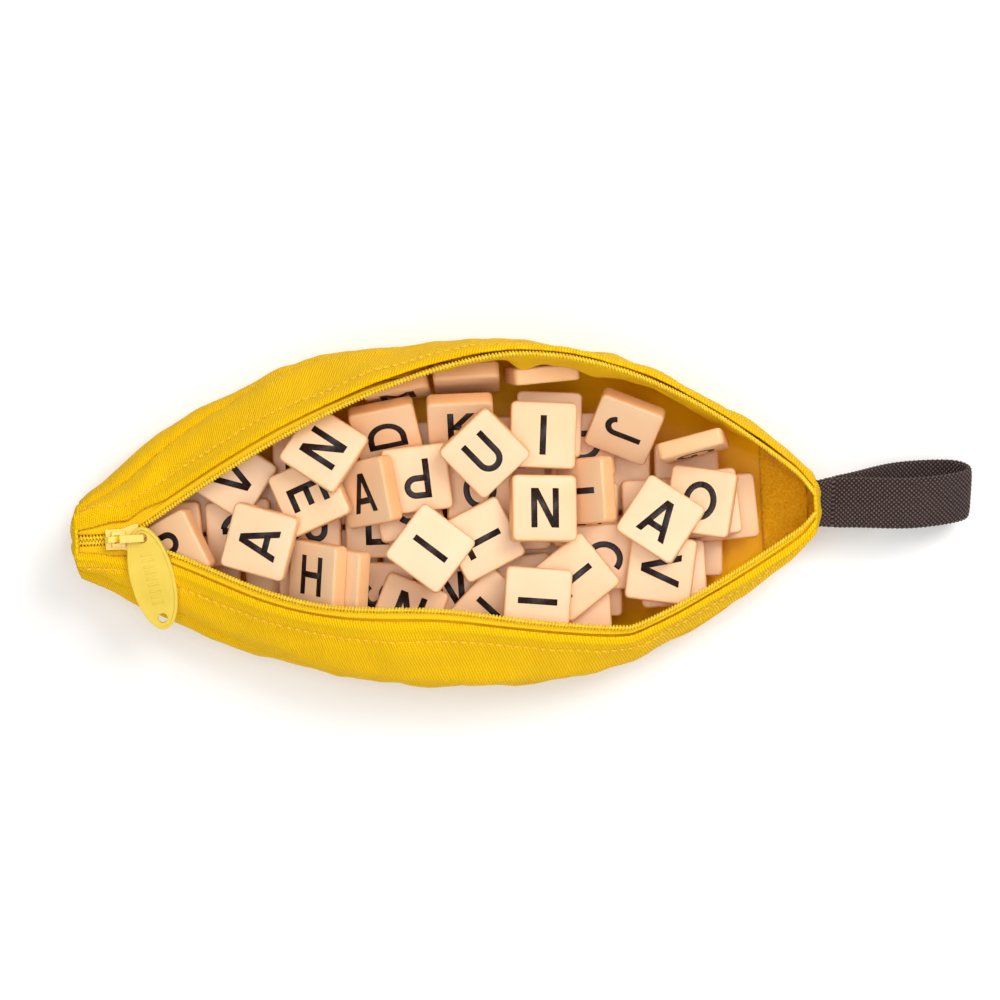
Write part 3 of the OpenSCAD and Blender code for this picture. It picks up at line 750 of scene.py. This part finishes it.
# Slider, link and tag
def softened(name, node, width, segments=3):
    """A copy of a CAD node with its edges rounded off."""
    source = frame["nodes"][node]
    obj = new_object(name, source.data.copy())
    obj.matrix_world = source.matrix_world.copy()
    work = bmesh.new()
    work.from_mesh(obj.data)
    bmesh.ops.remove_doubles(work, verts=work.verts, dist=1e-6)
    bmesh.ops.dissolve_limit(work, angle_limit=math.radians(2), verts=work.verts, edges=work.edges)
    work.to_mesh(obj.data)
    work.free()
    bevel = obj.modifiers.new("round", "BEVEL")
    bevel.width, bevel.segments, bevel.limit_method = width * MM, segments, "ANGLE"
    bevel.angle_limit = math.radians(32)
    obj.data.polygons.foreach_set("use_smooth", [True] * len(obj.data.polygons))
    obj.modifiers.new("normals", "WEIGHTED_NORMAL").keep_sharp = True
    return obj


dress(softened("zip_slider", "slider_body", 0.28), ENAMEL, "slider_metal", "slider", "slider_body")
dress(softened("zip_link", "pull_link", 0.2), ENAMEL, "slider_metal", "link", "pull_link")
dress(softened("zip_tag", "pull_tag", 0.14, 2), TAG, "tag_plastic", "tag", "pull_tag")


# Webbing loop
LOOP_TURNS = ((-2.5, "Z"), (20, "X"), (14, "Y"), (90, "X"))


def webbing_loop():
    """A braided band, sewn in at the stem, out to its fold and back."""
    length, width, thick, gap, widest = 41.2, 14.5, 1.8, 12.0, 0.738
    turn = np.radians(np.linspace(9, 351, 420))
    swing = (gap + thick) / 2 / widest
    line = np.stack([(length - thick / 2) / 2 * (1 - np.cos(turn)),
                     swing * np.sin(turn) * np.abs(np.sin(turn / 2)) ** 1.2], -1)
    line[:, 1] += 0.3 * np.sin(turn * 5)
    tail = np.linspace(-4.0, line[0, 0] - 0.3, 16)
    line = np.concatenate([np.stack([tail, 0 * tail + line[0, 1] + 0.55], -1), line,
                           np.stack([tail[::-1], 0 * tail + line[-1, 1] - 0.55], -1)])
    step = np.gradient(line, axis=0)
    step /= np.linalg.norm(step, axis=1, keepdims=True)
    out = np.stack([step[:, 1], -step[:, 0]], -1)
    lengths = run_lengths(line)
    around = np.linspace(0, 2 * np.pi, 2000)
    c, s = np.cos(around), np.sin(around)
    edge = np.stack([np.abs(c) ** 0.45 * np.sign(c) * width / 2,
                     np.abs(s) ** 0.6 * np.sign(s) * thick / 2], -1)
    round_by = run_lengths(edge)
    places = np.linspace(0, round_by[-1], 150, endpoint=False)
    w, h = (np.interp(places, round_by, edge[:, k]) for k in (0, 1))
    u, v = np.meshgrid(lengths, places, indexing="ij")
    a, b = (u + v) / STRAND, (u - v) / STRAND
    over = (np.floor(a) + np.floor(b)) % 2 == 0
    across_cell, along_cell = np.where(over, b % 1, a % 1), np.where(over, a % 1, b % 1)
    knit = np.sqrt(np.sin(np.pi * across_cell)) * (0.35 + 0.65 * np.sin(np.pi * along_cell))
    size_by = np.hypot(w / (width / 2), h / (thick / 2))
    narrow = 1 - 0.12 * np.exp(-(u / 4) ** 2) - 0.12 * np.exp(-((lengths[-1] - u) / 4) ** 2)
    across = w[None] * narrow + 0.3 * (knit - 0.5) * (w / (width / 2))[None]
    lift = h[None] + 0.42 * (knit - 0.6) * np.clip(h / (thick / 2) / size_by * 1.6, -1, 1)[None]
    flat = np.stack([*(line[:, k, None] + out[:, k, None] * lift for k in (0, 1)), across], -1)
    local = Matrix.Identity(4)
    for angle, axis in LOOP_TURNS:
        local = local @ Matrix.Rotation(math.radians(angle), 4, axis)
    points = flat.reshape(-1, 3) @ np.array(local.to_3x3()).T + np.array(LOOP_ROOT)
    return mesh_object("carry_loop", points, tube_faces(*u.shape), np.stack([u, v], -1).reshape(-1, 2))


loop = webbing_loop()
dress(loop, WEBBING, "webbing", None, "strap_loop")
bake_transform(loop)

# Tiles
SIDE, THICK, CORNER, EDGE = 18.0, 4.6, 1.5, 0.8
FACE_TRIM = 4.0
TILE_RING = 28
SIDE_BANDS = (1, 10)


def tile_mesh():
    """A square tile with rounded corners and edges, in millimetres about its middle."""
    def outline(trim):
        corner = max(CORNER - trim * 0.6, 0.4)
        ring = []
        for k, quarter in enumerate(((1, 1), (-1, 1), (-1, -1), (1, -1))):
            centre = np.array(quarter) * (SIDE / 2 - trim - corner)
            for a in np.linspace(0, 90, TILE_RING // 4):
                t = math.radians(a + 90 * k)
                ring.append(centre + corner * np.array([math.cos(t), math.sin(t)]))
        return np.array(ring)

    turns = np.radians(np.linspace(0, 90, 6))
    lower = [(EDGE * (1 - math.sin(t)), -THICK / 2 + EDGE * (1 - math.cos(t))) for t in turns]
    upper = [(trim, -z) for trim, z in reversed(lower)]
    levels = [(FACE_TRIM, -THICK / 2), *lower, *upper, (FACE_TRIM, THICK / 2)]
    points = [np.column_stack([outline(trim), np.full(TILE_RING, z)]) for trim, z in levels]
    return np.concatenate(points), tube_faces(len(levels), TILE_RING)


def arc(cx, cy, rx, ry, start, end, count=12):
    return [(cx + rx * math.cos(math.radians(mix(start, end, i / count))),
             cy + ry * math.sin(math.radians(mix(start, end, i / count)))) for i in range(count + 1)]


# Plain single-stroke capitals, one unit high: straight strokes between two points, and bent ones.
HEIGHT, STROKE = 10.7, 1.7
LIFT = 0.06
TOP = 0.5
BAR = TOP - STROKE / HEIGHT / 2
P_BOWL = [(-0.26, BAR), (0.03, BAR), *arc(0.03, BAR - 0.22, 0.23, 0.22, 90, -90), (-0.26, BAR - 0.44)]
LETTERS = {
    "A": [[(-0.33, -TOP), (-0.015, TOP)], [(0.33, -TOP), (0.015, TOP)], [(-0.23, -0.2), (0.23, -0.2)]],
    "B": [[(-0.26, -TOP), (-0.26, TOP)],
          [(-0.26, BAR), *arc(0.0, BAR - 0.2, 0.2, 0.2, 90, -90), (-0.26, BAR - 0.4)],
          [(-0.26, 0.015), *arc(0.02, -0.2, 0.24, 0.215, 90, -90), (-0.26, -BAR)]],
    "C": [arc(0.05, 0, 0.38, BAR, 48, 312, 22)],
    "D": [[(-0.3, -TOP), (-0.3, TOP)], [(-0.3, BAR), *arc(-0.08, 0, 0.4, BAR, 90, -90, 18), (-0.3, -BAR)]],
    "E": [[(-0.24, -TOP), (-0.24, TOP)], [(-0.24, BAR), (0.29, BAR)], [(-0.24, 0), (0.25, 0)],
          [(-0.24, -BAR), (0.29, -BAR)]],
    "G": [arc(0.02, 0, 0.38, BAR, 48, 345, 22), [(0.06, -0.06), (0.42, -0.06)]],
    "H": [[(-0.29, -TOP), (-0.29, TOP)], [(0.29, -TOP), (0.29, TOP)], [(-0.29, 0.02), (0.29, 0.02)]],
    "I": [[(0, -TOP), (0, TOP)]],
    "J": [[(0.15, TOP), *arc(-0.06, -0.21, 0.21, 0.21, 0, -170, 12)]],
    "K": [[(-0.25, -TOP), (-0.25, TOP)], [(0.27, TOP), (-0.2, -0.06)], [(-0.06, 0.06), (0.3, -TOP)]],
    "L": [[(-0.24, -TOP), (-0.24, TOP)], [(-0.24, -BAR), (0.28, -BAR)]],
    "M": [[(-0.36, -TOP), (-0.36, TOP)], [(0.36, -TOP), (0.36, TOP)], [(-0.34, TOP), (0, -0.15)],
          [(0.34, TOP), (0, -0.15)]],
    "N": [[(-0.28, -TOP), (-0.28, TOP)], [(0.28, -TOP), (0.28, TOP)], [(-0.26, TOP), (0.26, -TOP)]],
    "O": [arc(0, 0, 0.35, BAR, 90, 450, 30)],
    "P": [[(-0.26, -TOP), (-0.26, TOP)], P_BOWL],
    "R": [[(-0.26, -TOP), (-0.26, TOP)], P_BOWL, [(-0.02, BAR - 0.44), (0.29, -TOP)]],
    "S": [[*arc(0.0, 0.21, 0.23, 0.2, 25, 265, 12), *arc(0.0, -0.2, 0.25, 0.215, 85, -155, 12)]],
    "T": [[(-0.34, BAR), (0.34, BAR)], [(0, TOP), (0, -TOP)]],
    "U": [[(-0.27, TOP), *arc(0, -0.15, 0.27, BAR - 0.15, 180, 360, 16), (0.27, TOP)]],
    "V": [[(-0.34, TOP), (-0.015, -TOP)], [(0.34, TOP), (0.015, -TOP)]],
}


def stroke_offsets(p):
    """Half the stroke's width, as an offset at each point. A straight stroke is cut level or upright."""
    if len(p) == 2:
        run = p[1] - p[0]
        far = STROKE / 2 * np.linalg.norm(run)
        level = np.array([far / abs(run[1]), 0]) if abs(run[1]) > 1e-6 else np.array([0, far / abs(run[0])])
        return np.array([level, level])
    closed = np.linalg.norm(p[0] - p[-1]) < 1e-6
    step = np.diff(p, axis=0)
    step /= np.linalg.norm(step, axis=1, keepdims=True)
    normal = np.stack([-step[:, 1], step[:, 0]], -1)
    before = np.vstack([normal[-1:] if closed else normal[:1], normal])
    after = np.vstack([normal, normal[:1] if closed else normal[-1:]])
    join = before + after
    join /= np.linalg.norm(join, axis=1, keepdims=True)
    return join * (STROKE / 2 / (join * after).sum(1))[:, None]


def letter_mesh(letter):
    """Raised strokes for one capital, on the tile's upper face."""
    parts = []
    for n, line in enumerate(LETTERS[letter]):
        p = np.array(line) * HEIGHT
        p = p[[0] + [i for i in range(1, len(p)) if np.linalg.norm(p[i] - p[i - 1]) > 1e-6]]
        offset = stroke_offsets(p)
        base, top = THICK / 2 - 0.05, THICK / 2 + LIFT + 0.004 * n
        ring = [(p + offset, base), (p + offset, top - 0.03), (p + offset * 0.93, top),
                (p - offset * 0.93, top), (p - offset, top - 0.03), (p - offset, base)]
        points = np.stack([np.column_stack([q, np.full(len(q), z)]) for q, z in ring], 1)
        parts.append((points.reshape(-1, 3), tube_faces(len(p), len(ring))))
    return parts


def tile_sides(mesh):
    """The sides and bevels of tiles take the second material, a darker and more orange copy of the tile
    colour: painted shade on the sides.
    """
    block = np.zeros(len(block_faces), int)
    block[SIDE_BANDS[0] * TILE_RING:SIDE_BANDS[1] * TILE_RING] = 1
    mesh.polygons.foreach_set("material_index", np.tile(block, len(mesh.polygons) // len(block)))
    mesh.materials.append(TILE_SIDE)


def islands(mesh):
    """The loose parts of a mesh: the normal, area and corners of each face."""
    work = bmesh.new()
    work.from_mesh(mesh)
    bmesh.ops.remove_doubles(work, verts=work.verts, dist=1e-6)
    work.faces.index_update()
    seen, groups = set(), []
    for first in work.faces:
        if first.index in seen:
            continue
        seen.add(first.index)
        todo, group = [first], []
        while todo:
            face = todo.pop()
            group.append(face)
            for edge in face.edges:
                for other in edge.link_faces:
                    if other.index not in seen:
                        seen.add(other.index)
                        todo.append(other)
        groups.append([(f.normal.copy(), f.calc_area(), [v.co.copy() for v in f.verts]) for f in group])
    work.free()
    return groups


def tile_place(group, up):
    """Where a CAD tile lies: a matrix with Z out of its lettered face and Y towards the letter's top."""
    areas = {}
    for normal, area, _ in group:
        for key in areas:
            if normal.dot(Vector(key)) > 0.9999:
                areas[key] += area
                break
        else:
            areas[tuple(normal)] = area
    ordered = sorted(areas, key=lambda k: -areas[k])
    faces = sorted(ordered[:2], key=lambda k: -k[2])
    out = Vector(faces[0])
    sides = [Vector(k) for k in ordered[2:6] if abs(Vector(k).dot(out)) < 0.02]
    top = max(sides, key=lambda v: v.x * -math.sin(up) + v.y * math.cos(up))
    right = top.cross(out)
    points = [p for _, _, ring in group for p in ring]
    centre = Vector((0, 0, 0))
    for axis in (right, top, out):
        reach = [p.dot(axis) for p in points]
        centre += axis * (min(reach) + max(reach)) / 2
    matrix = Matrix((right, top, out)).transposed().to_4x4()
    matrix.translation = centre
    return matrix


# Letter and direction of its top, in degrees from +Y, of each loose tile.
LOOSE = [(None, 0), ("M", 8), ("B", 102), ("K", -1), ("D", 99), ("J", -114), ("G", -69), ("E", -9),
         ("H", -9), ("V", 54), ("R", 24), ("S", 8), ("O", -3), ("L", -5), ("B", 4), ("C", -90),
         ("R", -15), (None, 3), ("N", -24), ("I", 45), ("O", -12), ("I", 91), ("P", 184), ("A", 8),
         ("E", -69), ("T", 115), ("T", 126), ("V", -100), ("I", -5), ("N", -3), ("I", 83), ("A", 72),
         ("N", 54), ("I", 50), ("U", 41), ("A", -36)]
body_of_node = {}
for body in frame["bodies"]:
    for name in frame["record"]["behaviour"]["bodies"].get(body, []):
        body_of_node[name] = body

block_points, block_faces = tile_mesh()
pattern = mesh_object("tile_shape", block_points, block_faces)
tile_data = pattern.data
bpy.data.objects.remove(pattern)
tile_data.materials.append(TILE)
tile_sides(tile_data)
for n, (letter, up) in enumerate(LOOSE, 1):
    node = f"letter_tile_{n:02d}"
    place = tile_place(islands(frame["nodes"][node].data)[0], math.radians(up))
    tile = new_object(f"tile_{n:02d}", tile_data)
    tile.matrix_world = place
    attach(tile, body_of_node[node])
    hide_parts(node)
    if letter:
        mark = joined(f"letter_{n:02d}", letter_mesh(letter))
        mark.data.materials.append(INK)
        mark.matrix_world = place
        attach(mark, body_of_node[node])

# Tiles below the loose ones. Only the upper layer can be seen, so only it has letters.
chance = random.Random(4)
for node, name in (("packed_tiles_lower", "tiles_lower"), ("packed_tiles_upper", "tiles_upper")):
    blocks, marks = [], []
    for group in islands(frame["nodes"][node].data):
        place = tile_place(group, math.radians(90 * chance.randrange(4)))
        turn = np.array(place.to_3x3())
        shift = np.array(place.translation) / MM
        blocks.append((block_points @ turn.T + shift, block_faces))
        if node == "packed_tiles_upper":
            for points, faces in letter_mesh(chance.choice("AEIOUTNRSLDGMBCH")):
                marks.append((points @ turn.T + shift, faces))
    tile_sides(dress(joined(name, blocks), TILE, "tile_plastic", "pouch", node).data)
    if marks:
        dress(joined("letters_upper", marks), INK, "tile_plastic", "pouch")

# Table and light
bpy.ops.mesh.primitive_plane_add(size=8, location=(0, 0, -0.0003))
table = bpy.context.object
table.name = "table"
GLOW = 0.13
m = Shader("table_white", Roughness=0.7, Specular_IOR_Level=0.2)
m.shader.inputs["Emission Color"].default_value = (1, 1, 1, 1)
seen = m.add("ShaderNodeLightPath")
direct = m.math("MAXIMUM", seen.outputs["Is Camera Ray"], seen.outputs["Is Glossy Ray"])
m.put(m.shader.inputs["Emission Strength"], m.math("MULTIPLY", direct, GLOW))
white = m.ramp(m.noise(3, 2), (0.3, (0.86, 0.86, 0.86)), (0.7, (0.88, 0.88, 0.88)))
table.data.materials.append(m.finish(white))

world = bpy.data.worlds.new("studio")
bpy.context.scene.world = world
world.use_nodes = True
background = world.node_tree.nodes["Background"]
background.inputs["Color"].default_value = (1.0, 0.99, 0.98, 1)
background.inputs["Strength"].default_value = 0.36
AIM = Vector((0, 0, 0.02))


def softbox(name, place, size, power):
    """A square light that shines on the pouch."""
    data = bpy.data.lights.new(name, "AREA")
    data.shape, data.size, data.energy = "SQUARE", size, power
    obj = new_object(name, data)
    obj.location = place
    obj.rotation_euler = (AIM - Vector(place)).to_track_quat("-Z", "Y").to_euler()


softbox("overhead", (-0.05, 0.0, 1.1), 0.7, 5.0)
softbox("key", (0.45, 0.40, 0.82), 0.45, 5.2)
softbox("fill", (0.0, -0.9, 0.65), 0.8, 1.9)

bpy.context.scene.view_settings.view_transform = "Standard"
